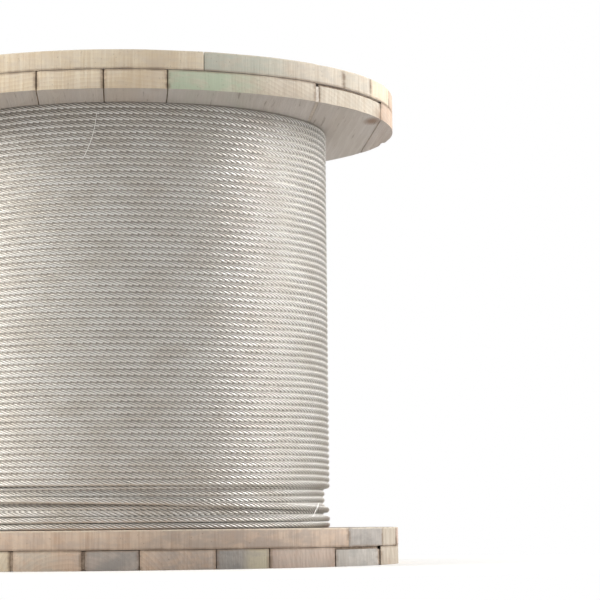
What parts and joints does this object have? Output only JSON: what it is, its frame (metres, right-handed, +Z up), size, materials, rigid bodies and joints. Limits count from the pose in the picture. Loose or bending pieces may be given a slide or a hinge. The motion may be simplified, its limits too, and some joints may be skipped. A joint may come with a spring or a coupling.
{
  "type": "coil of wire rope on a wooden reel",
  "caption": "Steel wire rope wound in close turns on a round wooden reel of crossed boards that stands on one flange, with an arbor hole through its middle.",
  "frame": {"origin": "centre of the lower flange's underside, on the reel's axis", "axes": "+Z up along the reel's axis, -Y towards the reel's front, +X to the right seen from the front"},
  "size_m": [0.75, 0.75, 0.652],
  "materials": {
    "drum_stave": "rough sawn softwood",
    "nail": "plain steel",
    "lower_inner_board_1": "rough sawn softwood, weathered",
    "lower_inner_board_2": "rough sawn softwood, weathered",
    "lower_inner_board_3": "rough sawn softwood, weathered",
    "lower_inner_board_4": "rough sawn softwood, weathered",
    "lower_inner_board_5": "rough sawn softwood, weathered",
    "lower_inner_board_6": "rough sawn softwood, weathered",
    "lower_inner_board_7": "rough sawn softwood, weathered",
    "lower_inner_board_8": "rough sawn softwood, weathered",
    "nut": "plain steel",
    "lower_outer_board_1": "rough sawn softwood, weathered",
    "lower_outer_board_10": "rough sawn softwood, weathered",
    "lower_outer_board_2": "rough sawn softwood, weathered",
    "lower_outer_board_3": "rough sawn softwood, weathered",
    "lower_outer_board_4": "rough sawn softwood, weathered",
    "lower_outer_board_5": "rough sawn softwood, weathered",
    "lower_outer_board_6": "rough sawn softwood, weathered",
    "lower_outer_board_7": "rough sawn softwood, weathered",
    "lower_outer_board_8": "rough sawn softwood, weathered",
    "lower_outer_board_9": "rough sawn softwood, weathered",
    "washer": "plain steel",
    "staple": "plain steel",
    "tie_rod": "plain steel",
    "upper_inner_board_1": "rough sawn softwood, weathered",
    "upper_inner_board_2": "rough sawn softwood, weathered",
    "upper_inner_board_3": "rough sawn softwood, weathered",
    "upper_inner_board_4": "rough sawn softwood, weathered",
    "upper_inner_board_5": "rough sawn softwood, weathered",
    "upper_inner_board_6": "rough sawn softwood, weathered",
    "upper_inner_board_7": "rough sawn softwood, weathered",
    "upper_inner_board_8": "rough sawn softwood, weathered",
    "upper_outer_board_1_left": "rough sawn softwood, weathered",
    "upper_outer_board_1_right": "rough sawn softwood, weathered",
    "upper_outer_board_2": "rough sawn softwood, weathered",
    "upper_outer_board_3": "rough sawn softwood, weathered",
    "upper_outer_board_4": "rough sawn softwood, weathered",
    "upper_outer_board_5": "rough sawn softwood, weathered",
    "upper_outer_board_6": "rough sawn softwood, weathered",
    "upper_outer_board_7": "rough sawn softwood, weathered",
    "upper_outer_board_8": "rough sawn softwood, weathered",
    "wire_rope": "bright drawn wire"
  },
  "bodies": {
    "root": {"drum_stave_1": "drum_stave", "drum_stave_10": "drum_stave", "drum_stave_11": "drum_stave", "drum_stave_12": "drum_stave", "drum_stave_2": "drum_stave", "drum_stave_3": "drum_stave", "drum_stave_4": "drum_stave", "drum_stave_5": "drum_stave", "drum_stave_6": "drum_stave", "drum_stave_7": "drum_stave", "drum_stave_8": "drum_stave", "drum_stave_9": "drum_stave", "lower_flange_nails": "nail", "lower_inner_board_1": "lower_inner_board_1", "lower_inner_board_2": "lower_inner_board_2", "lower_inner_board_3": "lower_inner_board_3", "lower_inner_board_4": "lower_inner_board_4", "lower_inner_board_5": "lower_inner_board_5", "lower_inner_board_6": "lower_inner_board_6", "lower_inner_board_7": "lower_inner_board_7", "lower_inner_board_8": "lower_inner_board_8", "lower_nuts": "nut", "lower_outer_board_1": "lower_outer_board_1", "lower_outer_board_10": "lower_outer_board_10", "lower_outer_board_2": "lower_outer_board_2", "lower_outer_board_3": "lower_outer_board_3", "lower_outer_board_4": "lower_outer_board_4", "lower_outer_board_5": "lower_outer_board_5", "lower_outer_board_6": "lower_outer_board_6", "lower_outer_board_7": "lower_outer_board_7", "lower_outer_board_8": "lower_outer_board_8", "lower_outer_board_9": "lower_outer_board_9", "lower_washers": "washer", "rope_staples": "staple", "tie_rod_1": "tie_rod", "tie_rod_2": "tie_rod", "tie_rod_3": "tie_rod", "tie_rod_4": "tie_rod", "upper_flange_nails": "nail", "upper_inner_board_1": "upper_inner_board_1", "upper_inner_board_2": "upper_inner_board_2", "upper_inner_board_3": "upper_inner_board_3", "upper_inner_board_4": "upper_inner_board_4", "upper_inner_board_5": "upper_inner_board_5", "upper_inner_board_6": "upper_inner_board_6", "upper_inner_board_7": "upper_inner_board_7", "upper_inner_board_8": "upper_inner_board_8", "upper_nuts": "nut", "upper_outer_board_1_left": "upper_outer_board_1_left", "upper_outer_board_1_right": "upper_outer_board_1_right", "upper_outer_board_2": "upper_outer_board_2", "upper_outer_board_3": "upper_outer_board_3", "upper_outer_board_4": "upper_outer_board_4", "upper_outer_board_5": "upper_outer_board_5", "upper_outer_board_6": "upper_outer_board_6", "upper_outer_board_7": "upper_outer_board_7", "upper_outer_board_8": "upper_outer_board_8", "upper_washers": "washer", "wire_rope": "wire_rope"}
  },
  "joints": []
}
